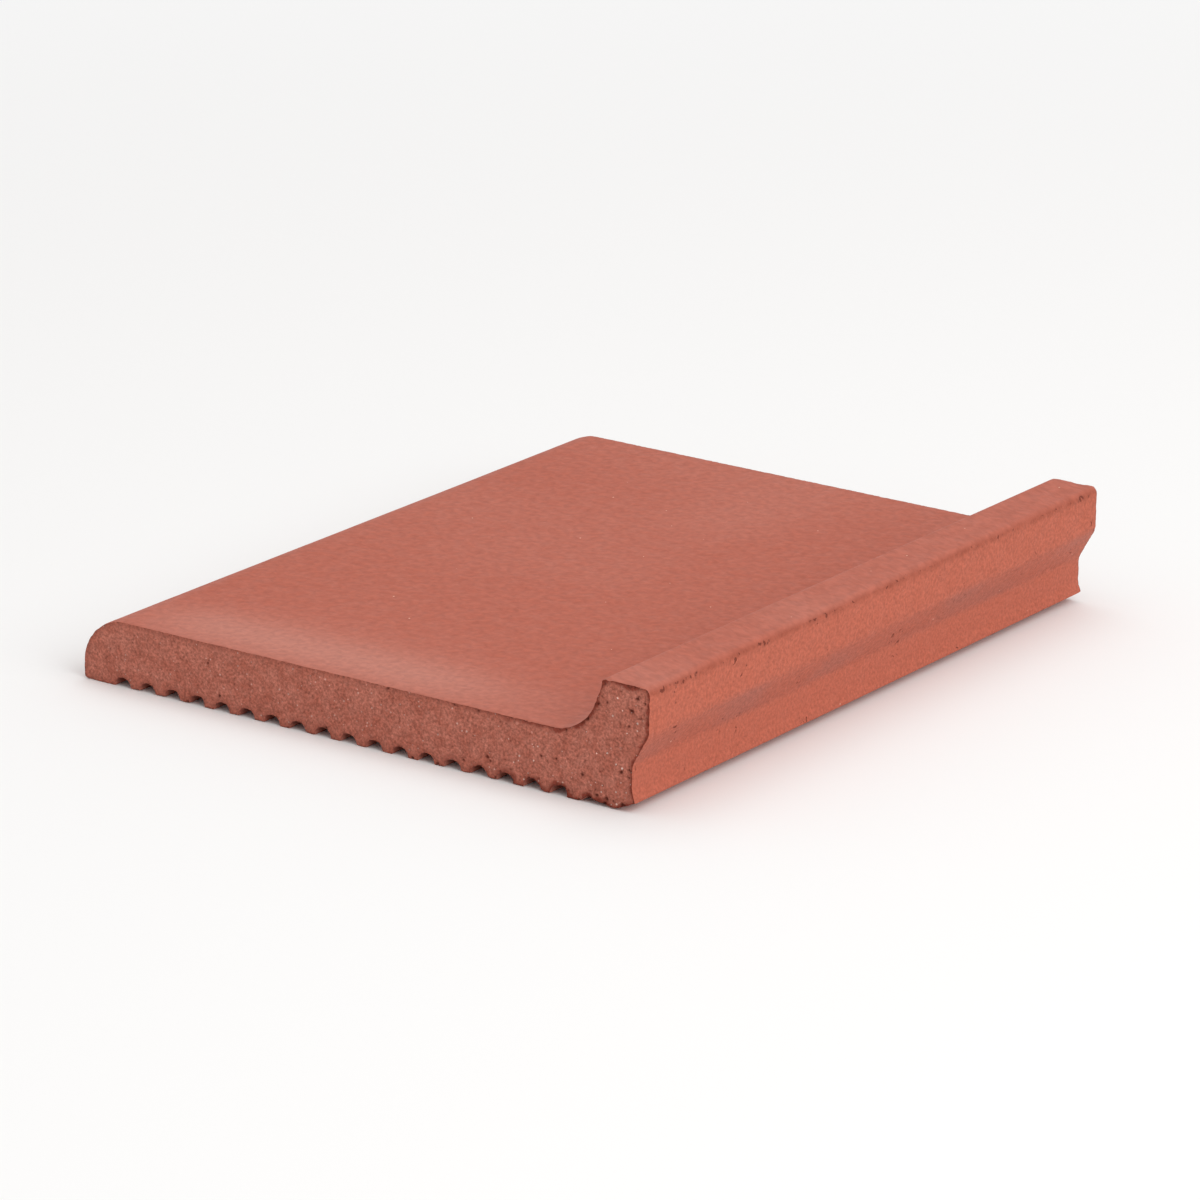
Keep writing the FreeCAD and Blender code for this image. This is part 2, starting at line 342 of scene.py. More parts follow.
@dataclass
class CutEnd:
    """One wire-cut end: the section filled with fine triangles and roughened.

    Attributes:
        spacing: distance between the points inside the section, in millimetres.
        jitter: how far each point is moved at random, as a share of the spacing.
        clearance: how far the points keep from the outline, as a share of the spacing.
        pits: how many open pores the wire left.
        pit_radii: the smallest pore's radius, and how much the widest adds to it, in mm.
        pit_depth: a pore's depth as a share of its radius.
        seed: picks the pores and the jitter of the points.
    """

    spacing: float = 0.38
    jitter: float = 0.3
    clearance: float = 0.55
    pits: int = 190
    pit_radii: Span = (0.16, 0.4)
    pit_depth: float = 0.85
    seed: int = 11

    def inside_points(self, outline: Outline, blocks: int = 24) -> tuple[np.ndarray, np.ndarray]:
        """Jittered grid points inside the outline, and how far each lies from it.

        A point is inside where a ray towards +X crosses the loop an odd number of times. Its
        distance is the least one to any side, from the foot of the perpendicular.

        Args:
            outline: the rounded section.
            blocks: how many parts the grid is worked through in, to save memory.

        Returns:
            X and Z of the points in millimetres, and their distances from the outline.
        """
        start = outline.places
        side = np.roll(start, -1, axis=0) - start
        low, high = start.min(axis=0), start.max(axis=0)
        axes = [np.arange(low[i] + self.spacing, high[i], self.spacing) for i in (0, 1)]
        grid = np.stack(np.meshgrid(*axes), axis=-1).reshape(-1, 2)
        moves = np.random.default_rng(self.seed).uniform(-self.jitter, self.jitter, grid.shape)
        grid += moves * self.spacing
        inner, depths = [], []
        for block in np.array_split(grid, blocks):
            x, z = block[:, :1], block[:, 1:]
            spans = (start[:, 1] > z) != (start[:, 1] + side[:, 1] > z)
            slope = side[:, 0] / np.where(side[:, 1] == 0.0, 1e-9, side[:, 1])
            crossing = start[:, 0] + (z - start[:, 1]) * slope
            odd = (spans & (x < crossing)).sum(axis=1) % 2 == 1
            offset = block[:, None] - start
            share = np.clip((offset * side).sum(-1) / (side ** 2).sum(-1), 0.0, 1.0)
            gap = np.hypot(*np.moveaxis(offset - share[..., None] * side, -1, 0)).min(axis=1)
            chosen = odd & (gap > self.spacing * self.clearance)
            inner.append(block[chosen])
            depths.append(gap[chosen])
        return np.concatenate(inner), np.concatenate(depths)

    def pores(self, points: np.ndarray, rim: np.ndarray) -> np.ndarray:
        """Depth of the open pores at each point: cups with a parabola's section.

        They crowd within about a millimetre of the rim, as exp(-distance / 0.9), and in the
        thick end. Most are small: the radius grows with the fifth power of a random share.

        Args:
            points: X and Z of the end's inner points.
            rim: their distances from the outline.

        Returns:
            How far each point lies below the cut plane, in millimetres.
        """
        chance = np.random.default_rng(self.seed + 1)
        likely = (0.3 + 2.0 * np.exp(-rim / 0.9)) * (0.15 + ramp(points[:, 0], 15.0, 52.0))
        middles = points[chance.choice(len(points), self.pits, replace=False, p=likely / likely.sum())]
        smallest, growth = self.pit_radii
        radii = smallest + growth * chance.random(self.pits) ** 5
        depth = np.zeros(len(points))
        for middle, radius in zip(middles, radii):
            away = np.hypot(*(points - middle).T) / radius
            cup = self.pit_depth * radius * (1.0 - np.clip(away, 0.0, 1.0) ** 2)
            depth = np.maximum(depth, cup)
        return depth


@dataclass
class Tile:
    """The whole tile as one closed mesh round the CAD node's place. Its sizes are in mm.

    Attributes:
        section: the profile's sizes.
        end: how both cut ends are made.
        borders: where the finishes pass into one another.
        step, back_step: longest step round the section, on what shows and on the back.
        row_step: spacing of the rows along Y between the ends.
        end_rows: distances from a cut end of the closer rows beside it.
        warp, ripple, lump, crease: depths of the long drying waves, of the short ones, of the
            foot's lumps and of the crease beside the near cut.
        crease_place, crease_reach: the crease's distance from the cut, and its half width.
        tear_reach: how far the torn arris runs in from a cut.
        sheen_strip_place, sheen_strip_reach: Y of the middle of the band of painted sheen, and its
            half width.
        arris_drop, arris_reach: how far below the tip the foot's worn arris lies, and how
            wide it is.
        chips: breaks along the arrises.
    """

    section: Section = field(default_factory=Section)
    end: CutEnd = field(default_factory=CutEnd)
    borders: Borders = field(default_factory=Borders)
    step: float = 0.5
    back_step: float = 0.85
    row_step: float = 1.5
    end_rows: tuple[float, ...] = (0.0, 0.16, 0.36, 0.62, 0.95, 1.4, 2.0, 2.8, 3.9)
    warp: float = 0.07
    ripple: float = 0.024
    lump: float = 0.16
    crease: float = 0.09
    crease_place: float = 1.4
    crease_reach: float = 0.3
    tear_reach: float = 0.5
    # The band of painted sheen just inside the near cut.
    sheen_strip_place: float = 9.2 - HALF_LENGTH
    sheen_strip_reach: float = 9.0
    arris_drop: float = 0.9
    arris_reach: float = 0.75
    chips: tuple[Chip, ...] = (
        Chip((60.6, 75.9, 3.4), 0.8, 0.2),
        Chip((62.9, -75.4, 23.0), 1.2, 0.35),
        Chip((54.6, -75.8, 23.6), 0.9, 0.3),
        Chip((-60.5, 75.6, 9.5), 1.5, 0.4),
        Chip((40.0, 76.0, 12.7), 1.3, 0.3),
        Chip((63.2, 31.0, 22.9), 0.9, 0.25),
        Chip((63.3, -22.0, 22.7), 1.1, 0.3),
    )

    def build(self) -> bpy.types.Object:
        """Make the mesh and give it its surface attributes.

        Returns:
            The tile, standing at the origin with its place in its mesh.
        """
        outline = Outline.rounded(self.section.corners(), self.step, self.back_step)
        rows = self.rows()
        skin, skin_rim = self.skin(outline, rows)
        inner, inner_rim = self.end.inside_points(outline)
        pore = self.end.pores(inner, inner_rim)
        count, row_count = len(outline.places), len(rows)
        near = self.end_points(inner, inner_rim, pore, -HALF_LENGTH)
        far = self.end_points(inner, inner_rim, pore, HALF_LENGTH)
        points = np.concatenate([skin, near, far])
        side = self.side_faces(count, row_count)
        fill = self.end_faces(outline, inner)
        first, within = np.arange(count) * row_count, len(skin) + np.arange(len(inner))
        near_map = np.concatenate([first, within])
        far_map = np.concatenate([first + row_count - 1, within + len(inner)])
        near_faces, far_faces = near_map[fill], far_map[fill[:, ::-1]]
        mesh = bpy.data.meshes.new("quarry_cove_base")
        faces = side.tolist() + near_faces.tolist() + far_faces.tolist()
        mesh.from_pydata((points * MM).tolist(), [], faces)
        self.mark(mesh, "rim_mm", np.concatenate([skin_rim, inner_rim, inner_rim]))
        self.mark(mesh, "pore_mm", np.concatenate([np.zeros(len(skin)), pore, pore]))
        for name, mask in self.masks(points).items():
            self.mark(mesh, name, mask)
        slots = np.full(len(faces), Slot.WIRE_CUT.value)
        slots[:len(side)] = self.side_slots(outline, row_count)
        mesh.polygons.foreach_set("material_index", slots.astype(np.int32))
        mesh.polygons.foreach_set("use_smooth", np.ones(len(faces), bool))
        mesh.validate()
        mesh.update()
        tile = bpy.data.objects.new("tile", mesh)
        bpy.context.scene.collection.objects.link(tile)
        log.info("section of %d points, %d rows, %d points in each end", count, row_count, len(inner))
        return tile

    def rows(self) -> np.ndarray:
        """Y of each row of the skin: close together at the cut ends and even between them."""
        edge = np.array(self.end_rows)
        first = -HALF_LENGTH + edge[-1]
        steps = math.ceil(-2.0 * first / self.row_step)
        middle = np.linspace(first, -first, steps + 1)
        return np.concatenate([edge[:-1] - HALF_LENGTH, middle, HALF_LENGTH - edge[:-1][::-1]])

    def skin(self, outline: Outline, rows: np.ndarray) -> tuple[np.ndarray, np.ndarray]:
        """The extruded surface: the section carried along Y and pushed in along its normals.

        Each point sinks by long waves and short ripples, by small lumps on the foot's rough
        band, by a crease beside the near cut, by the torn arris near a cut, and by the chips.
        Crease and tearing fade as bells. At the very cut the torn arris also draws back along Y.

        Args:
            outline: the rounded section.
            rows: Y of each row.

        Returns:
            The grid's points in millimetres, section by section, and their distance from a cut.
        """
        count, row_count = len(outline.places), len(rows)
        points = np.empty((count, row_count, 3))
        points[:, :, 0] = outline.places[:, :1]
        points[:, :, 1] = rows
        points[:, :, 2] = outline.places[:, 1:]
        normals = np.zeros((count, row_count, 3))
        normals[:, :, [0, 2]] = outline.normals[:, None]
        points, normals = points.reshape(-1, 3), normals.reshape(-1, 3)
        x, y, z = points.T
        rim = HALF_LENGTH - np.abs(y)
        sink = self.warp / 2 * (1.0 + DRYING_WAVES.at(points))
        sink += self.ripple / 2 * (1.0 + RIPPLES.at(points))
        sink += self.lump * self.rough_band(points) * ramp(LUMPS.at(points), -0.1, 0.9)
        near_foot = (y < 0.0) * ramp(z, *self.borders.crease_low) * ramp(x, *self.borders.crease_side)
        sink += self.crease * near_foot * bell(rim - self.crease_place, self.crease_reach)
        torn = self.tearing(points)
        sink += torn * bell(rim, self.tear_reach)
        sink += self.chipping(points)
        points = points - normals * sink[:, None]
        points[:, 1] -= np.sign(points[:, 1]) * 0.6 * torn * bell(rim, 0.3 * self.tear_reach)
        return points, rim

    def tearing(self, points: np.ndarray) -> np.ndarray:
        """How far the wire tore the arris: a fray of up to 0.2 mm, and bites 0.3 mm deep."""
        fray = 0.03 + (0.05 + 0.13 * self.drag(points)) * np.abs(FRAY.at(points))
        bites = 0.3 * ramp(BITES.at(points), 0.1, 0.85)
        return fray + bites * self.drag(points)

    def drag(self, points: np.ndarray) -> np.ndarray:
        """How hard the wire tore, up to 1: most at the near end's thick toe, less at the far end."""
        thick = 0.3 + 0.7 * ramp(points[:, 0], *self.borders.thick_end)
        return thick * np.where(points[:, 1] < 0.0, 1.0, 0.3)

    def masks(self, points: np.ndarray) -> dict[str, np.ndarray]:
        """Where each finish of the clay lies, from 0 to 1, by the name that the shader reads.

        foot is the sandy outer side and crown the toe's top. bloom is painted sheen, palest in a
        soft band just inside the near cut and faint on the crown, together with salts that bloomed
        paler in faint clouds. ash dusts the slant in long patches. arris is a bell round the toe's
        outer edge. drag is the wire's tearing.

        Args:
            points: places in millimetres, one row each.

        Returns:
            One array for each mask.
        """
        x, y, z = points.T
        on = self.borders
        foot = ramp(x, *on.foot_side) * (1.0 - ramp(z, *on.foot_top)) * ramp(z, *on.foot_sole)
        crown = ramp(z, *on.crown)
        # Painted sheen: a pale band across the face just inside the near cut.
        sheen_strip = ramp(x, *on.sheen_strip_nose) * (1.0 - ramp(x, *on.sheen_strip_toe))
        sheen_strip *= bell(y - self.sheen_strip_place, self.sheen_strip_reach)
        clouds = ramp(BLOOM_CLOUDS.at(points), -0.3, 0.9) * (1.0 - foot)
        # Paler where sheen is painted, on that band and on the crown, and where salts bloomed in
        # clouds.
        bloom_and_sheen = np.clip(0.05 * crown + 0.4 * sheen_strip + 0.16 * clouds, 0.0, 1.0)
        slant = ramp(z, *on.slant_low) * (1.0 - ramp(z, *on.slant_high)) * foot
        drawn_out = np.array([1.0, 0.45, 1.0])
        ash = slant * (0.2 + 0.6 * ramp(ASH_PATCHES.at(points * drawn_out), -0.45, 0.55))
        arris = bell(np.hypot(x - HALF_WIDTH, z - HEIGHT + self.arris_drop), self.arris_reach)
        return {
            "foot": foot, "crown": crown, "bloom_and_sheen": bloom_and_sheen, "ash": ash, "arris": arris,
            "drag": self.drag(points),
        }

    def chipping(self, points: np.ndarray) -> np.ndarray:
        """Depth of the chips: each fades to nothing at its reach, with an uneven floor."""
        uneven = 1.0 + 0.4 * CHIP_FLOORS.at(points)
        depth = np.zeros(len(points))
        for chip in self.chips:
            away = np.linalg.norm(points - np.array(chip.place), axis=1)
            depth += chip.depth * ramp(-away * uneven, -chip.reach, -0.3 * chip.reach)
        return depth

    def end_points(self, inner: np.ndarray, rim: np.ndarray, pore: np.ndarray, y: float) -> np.ndarray:
        """The points inside one cut end, sunk below its plane by grain, waves, tearing and pores.

        Grain is 0.1 mm deep and waves are 0.08 mm. The tearing fades 0.7 mm from the outline.

        Args:
            inner: X and Z of the points.
            rim: their distance from the outline.
            pore: depth of the pores.
            y: where the end was cut.

        Returns:
            The points in millimetres.
        """
        points = np.stack([inner[:, 0], np.full(len(inner), y), inner[:, 1]], axis=1)
        sink = 0.05 * (1.0 + CUT_GRAIN.at(points)) + 0.04 * (1.0 + CUT_WAVES.at(points))
        sink += 0.8 * self.tearing(points) * bell(rim, 0.7) + pore
        points[:, 1] -= math.copysign(1.0, y) * sink
        return points

    def rough_band(self, points: np.ndarray) -> np.ndarray:
        """1 on the foot's upper band, which the die dragged rough, fading over the slant."""
        x, _, z = points.T
        up = ramp(z, *self.borders.rough_low) * (1.0 - ramp(z, *self.borders.rough_high))
        return ramp(x, *self.borders.rough_side) * up

    def side_faces(self, count: int, row_count: int) -> np.ndarray:
        """Quads between each two neighbours on the section and on the rows, facing outwards."""
        row = np.arange(row_count - 1)[None]
        here = np.arange(count)[:, None] * row_count + row
        following = (np.arange(count)[:, None] + 1) % count * row_count + row
        return np.stack([here, here + 1, following + 1, following], axis=-1).reshape(-1, 4)

    def side_slots(self, outline: Outline, row_count: int) -> np.ndarray:
        """Which finish each quad of the skin has: the grooved back's, or the smooth skin's."""
        x, z = outline.places.T
        nose_end, heel_end = self.borders.back
        back = (z < BACK_LEVEL) & (x < heel_end) & (x > nose_end)
        slots = np.where(back, Slot.GROOVED_BACK.value, Slot.DIE_SKIN.value)
        return np.repeat(slots, row_count - 1)

    def end_faces(self, outline: Outline, inner: np.ndarray) -> np.ndarray:
        """Triangles over the section that use every point of its outline, facing -Y.

        Args:
            outline: the rounded section, whose loop bounds the triangles.
            inner: X and Z of the points inside.

        Returns:
            Three indices a row: the outline's points come first, then the inner ones.
        """
        flat = [Vector(place) for place in np.concatenate([outline.places, inner])]
        loop = list(range(len(outline.places)))
        result = delaunay_2d_cdt(flat, [], [loop], 1, 1e-6)
        triangles = np.array(result[2])
        a, b, c = (np.array(result[0])[triangles[:, i]] for i in range(3))
        area = (b[:, 0] - a[:, 0]) * (c[:, 1] - a[:, 1]) - (b[:, 1] - a[:, 1]) * (c[:, 0] - a[:, 0])
        triangles[area < 0] = triangles[area < 0][:, ::-1]
        return triangles

    def mark(self, mesh: bpy.types.Mesh, name: str, values: np.ndarray) -> None:
        """Store one number for each point, for the materials to read."""
        layer = mesh.attributes.new(name, "FLOAT", "POINT")
        layer.data.foreach_set("value", values.astype(np.float32))


# ---- finishes

def add_node(
    tree: bpy.types.NodeTree, kind: str, inputs: dict | None = None, **settings: object,
) -> bpy.types.Node:
    """Add a node, with its settings, and fill or link its inputs.

    Args:
        tree: the material's or world's node tree.
        kind: the node's type, without the ShaderNode that its name starts with.
        inputs: name or number of an input, and a value, a socket that feeds it, or a node
            whose first output does.
        settings: the node's own properties.

    Returns:
        The new node.
    """
    node = tree.nodes.new("ShaderNode" + kind)
    for name, value in settings.items():
        setattr(node, name, value)
    for name, value in (inputs or {}).items():
        if isinstance(value, bpy.types.Node):
            tree.links.new(value.outputs[0], node.inputs[name])
        elif isinstance(value, bpy.types.NodeSocket):
            tree.links.new(value, node.inputs[name])
        else:
            node.inputs[name].default_value = value
    return node


def new_material(name: str) -> tuple[bpy.types.Material, Adder]:
    """A material with no nodes yet, and what adds them to it."""
    material = bpy.data.materials.new(name)
    material.use_nodes = True
    material.node_tree.nodes.clear()
    return material, partial(add_node, material.node_tree)


def per_mm(size: float) -> float:
    """Texture scale that gives a feature of this size in millimetres on metre coordinates."""
    return 1.0 / (size * MM)


def end_shader(
    add: Adder, colour: Feed, height: Feed, relief_mm: float, roughness: Feed | float, sheen: float,
) -> None:
    """End a material as fired clay, whose pores keep most of its gloss back.

    Args:
        add: adds a node to the material.
        colour: the clay's colour.
        height: the pattern that dents it.
        relief_mm: how deep a height of 1 goes.
        roughness: how matte it is.
        sheen: the share of the gloss that is left.
    """
    bump = add("Bump", {"Height": height, "Strength": 1.0, "Distance": relief_mm * MM})
    shader = add("BsdfPrincipled", {
        "Base Color": colour, "Roughness": roughness, "Normal": bump, "IOR": 1.5,
        "Specular IOR Level": sheen,
    })
    add("OutputMaterial", {"Surface": shader})


@dataclass(frozen=True)
class DieSkin:
    """Quarry clay as the die and the kiln leave it: matte, finely wrinkled, faintly bloomed.

    Drying leaves wrinkles about a millimetre apart on the face, and the die drags them aslant
    on the toe's top; their small shadows are painted into the colour as shade. Salts bloomed
    paler in patches, and a painted sheen lightens the toe's top and a band just inside the near
    cut. The foot is sandy, with open pits in loose clusters, painted darker as shade, and its
    slant is dusted greyer. Its sand is finer in truth, and is drawn as coarse as it needs to
    show.
    """

    clay: str = "#B05F4C"
    # Pale colour of salts that bloomed, also used for painted sheen.
    bloom_and_sheen: str = "#C58A7B"
    foot: str = "#B4614C"
    ash: str = "#A86556"
    torn: str = "#8A4436"
    # Colour of the painted shade in the pits, also used for the wear on the toe's arris.
    pit: str = "#783829"
    speck: str = "#E3B6A2"
    wrinkle_mm: float = 1.4
    drag_mm: float = 1.15
    drag_lean: float = -22.0
    drag_stretch: float = 1.9
    sand_mm: float = 0.6
    mottle_mm: float = 3.2
    pit_mm: float = 1.15
    cluster_mm: float = 8.0
    speck_spacing_mm: float = 3.4
    relief_mm: float = 0.09
    sheen: float = 0.15

    def material(self) -> bpy.types.Material:
        """Build the shader.

        Returns:
            The material.
        """
        material, add = new_material("unglazed_quarry_clay_die_skin")
        place = add("TexCoord").outputs["Object"]
        turned = add("Mapping", {
            "Vector": place, "Rotation": (0.0, 0.0, math.radians(self.drag_lean)),
            "Scale": (self.drag_stretch, 1.0, 1.0),
        }, vector_type="TEXTURE")
        wrinkle = add("TexNoise", {
            "Vector": place, "Scale": per_mm(self.wrinkle_mm), "Detail": 3.0, "Distortion": 0.4,
        })
        dragged = add("TexNoise", {
            "Vector": turned, "Scale": per_mm(self.drag_mm), "Detail": 2.0, "Distortion": 0.4,
        })
        crown = add("Attribute", attribute_name="crown").outputs["Fac"]
        wrinkle = add("Mix", {0: crown, 2: wrinkle, 3: dragged})
        sand = add("TexNoise", {
            "Vector": place, "Scale": per_mm(self.sand_mm), "Detail": 2.0, "Roughness": 0.65,
        })
        mottle = add("TexNoise", {
            "Vector": place, "Scale": per_mm(self.mottle_mm), "Detail": 3.0,
        })
        foot = add("Attribute", attribute_name="foot").outputs["Fac"]
        pit = self.pits(add, place, foot)
        colour = self.clay_colour(add, mottle, foot)
        # Painted light and shade of the wrinkles: the face's colour darkens in their small shadows.
        painted_wrinkle_shade = add("MapRange", {
            "Value": wrinkle, "From Min": 0.3, "From Max": 0.7, "To Min": 0.87, "To Max": 1.1,
        })
        sandy = add("MapRange", {
            "Value": sand, "From Min": 0.3, "From Max": 0.7, "To Min": 0.79, "To Max": 1.19,
        })
        # On the face this multiplier is painted wrinkle shade; on the foot it is the sand's own tone.
        shade = add("Mix", {0: foot, 2: painted_wrinkle_shade, 3: sandy})
        colour = add("Mix", {
            0: 1.0, 6: colour, 7: shade,
        }, data_type="RGBA", blend_type="MULTIPLY").outputs[2]
        colour = self.marks(add, place, colour, mottle, pit)
        height = add("Mix", {0: foot, 2: wrinkle, 3: sand})
        height = add("Math", {0: pit, 1: -1.5, 2: height}, operation="MULTIPLY_ADD")
        gloss = add("MapRange", {
            "Value": mottle, "From Min": 0.3, "From Max": 0.7, "To Min": 0.56, "To Max": 0.7,
        })
        end_shader(add, colour, height, self.relief_mm, gloss, self.sheen)
        return material

    def clay_colour(self, add: Adder, mottle: Feed, foot: Feed) -> Feed:
        """The clay's hue, paler where salts bloomed and where sheen is painted, and greyer where the
        slant is dusty.

        Args:
            add: adds a node to the material.
            mottle: noise a few millimetres across, which breaks the edges of both.
            foot: 1 on the sandy foot.

        Returns:
            The colour.
        """
        broken = add("Math", {0: mottle, 1: 0.5}, operation="SUBTRACT")
        colour = add("Mix", {
            0: foot, 6: hex_linear(self.clay), 7: hex_linear(self.foot),
        }, data_type="RGBA").outputs[2]
        # The first pass lightens for bloomed salts and for painted sheen, the second greys for dust.
        for name, spread, hue in (("bloom_and_sheen", 0.35, self.bloom_and_sheen), ("ash", 0.9, self.ash)):
            amount = add("Attribute", attribute_name=name).outputs["Fac"]
            uneven = add("Math", {0: broken, 1: spread, 2: 1.0}, operation="MULTIPLY_ADD")
            amount = add("Math", {0: amount, 1: uneven}, operation="MULTIPLY", use_clamp=True)
            colour = add("Mix", {
                0: amount, 6: colour, 7: hex_linear(hue),
            }, data_type="RGBA").outputs[2]
        return colour

    def pits(self, add: Adder, place: Feed, foot: Feed) -> Feed:
        """1 in the open pits: rare on the face, in clusters on the foot, and along its top arris.

        Args:
            add: adds a node to the material.
            place: Object coordinates.
            foot: 1 on the sandy foot.

        Returns:
            The mask, from the low spots of a noise about as wide as a pit.
        """
        holes = add("TexNoise", {
            "Vector": place, "Scale": per_mm(self.pit_mm), "Detail": 1.5, "Distortion": 0.8,
        })
        crowd = add("TexNoise", {
            "Vector": place, "Scale": per_mm(self.cluster_mm), "Detail": 2.0,
        })
        crowd = add("MapRange", {
            "Value": crowd, "From Min": 0.5, "From Max": 0.66, "To Max": 0.17,
        })
        crowd = add("Math", {0: crowd, 1: foot, 2: 0.2}, operation="MULTIPLY_ADD")
        arris = add("Attribute", attribute_name="arris").outputs["Fac"]
        brink = add("Math", {0: arris, 1: 0.17, 2: crowd}, operation="MULTIPLY_ADD")
        floor = add("Math", {0: brink, 1: 0.07}, operation="SUBTRACT")
        return add("MapRange", {
            "Value": holes, "From Min": brink, "From Max": floor,
        }, interpolation_type="SMOOTHSTEP")

    def marks(self, add: Adder, place: Feed, colour: Feed, mottle: Feed, pit: Feed) -> Feed:
        """Add the painted shade in the pits, the wear on the arris, the pale specks of grog and the
        torn edge beside a cut.

        Args:
            add: adds a node to the material.
            place: Object coordinates.
            colour: the clay so far.
            mottle: noise that makes the torn edge uneven.
            pit: the mask of the pits.

        Returns:
            The colour with the marks on it.
        """
        arris = add("Attribute", attribute_name="arris").outputs["Fac"]
        # Darker along the arris as wear, and in the pits as painted shade.
        wear_and_pit_shade = add("Math", {0: arris, 1: mottle}, operation="MULTIPLY")
        wear_and_pit_shade = add("Math", {0: wear_and_pit_shade, 1: 0.75, 2: pit}, operation="MULTIPLY_ADD", use_clamp=True)
        colour = add("Mix", {
            0: wear_and_pit_shade, 6: colour, 7: hex_linear(self.pit),
        }, data_type="RGBA").outputs[2]
        specks = add("TexVoronoi", {"Vector": place, "Scale": per_mm(self.speck_spacing_mm)})
        kind = add("SeparateColor", {0: specks.outputs["Color"]})
        size = add("MapRange", {
            "Value": kind, "From Min": 0.5, "From Max": 1.0, "To Min": 0.0, "To Max": 0.055,
        })
        speck = add("Math", {0: specks.outputs["Distance"], 1: size}, operation="LESS_THAN")
        colour = add("Mix", {
            0: speck, 6: colour, 7: hex_linear(self.speck),
        }, data_type="RGBA").outputs[2]
        rim = add("Attribute", attribute_name="rim_mm").outputs["Fac"]
        fray = add("Math", {0: mottle, 1: -1.4, 2: rim}, operation="MULTIPLY_ADD")
        torn = add("MapRange", {
            "Value": fray, "From Min": -0.4, "From Max": -0.85, "To Max": 0.7,
        }, interpolation_type="SMOOTHSTEP")
        return add("Mix", {
            0: torn, 6: colour, 7: hex_linear(self.torn),
        }, data_type="RGBA").outputs[2]


